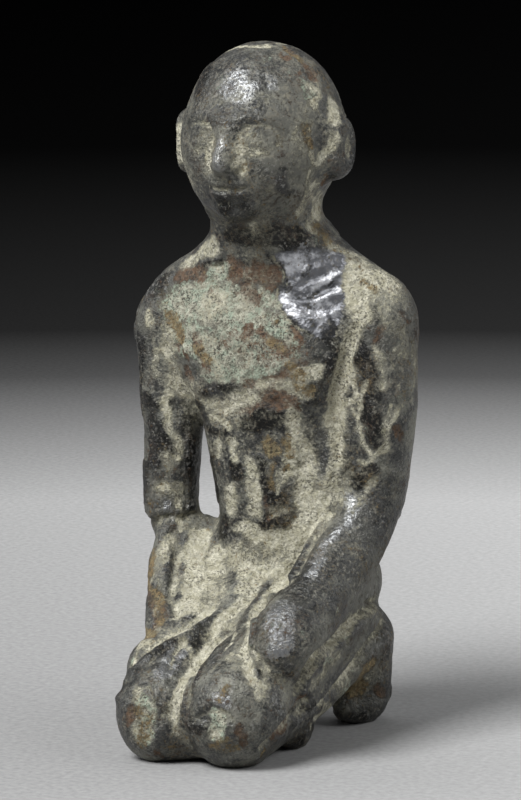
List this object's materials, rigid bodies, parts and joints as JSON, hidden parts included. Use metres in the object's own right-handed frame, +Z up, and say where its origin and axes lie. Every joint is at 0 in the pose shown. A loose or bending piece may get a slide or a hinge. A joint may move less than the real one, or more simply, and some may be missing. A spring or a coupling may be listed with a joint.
{
  "type": "worshipper figurine",
  "caption": "Small solid-cast bronze figure kneeling back on flexed feet, hands on the thighs, one forearm worn thin below a break.",
  "frame": {"origin": "on the ground, under the middle of the figure's box", "axes": "+Z up to the crown, the figure faces -Y, +X is the figure's own left"},
  "size_m": [0.0262, 0.0286, 0.06],
  "materials": {
    "bronze": "old cast bronze, near-black glossy patina on high places, cream and pale green corrosion in the hollows, rust-brown patches on the chest and knees"
  },
  "bodies": {
    "root": {"worshipper": "bronze"}
  },
  "joints": []
}
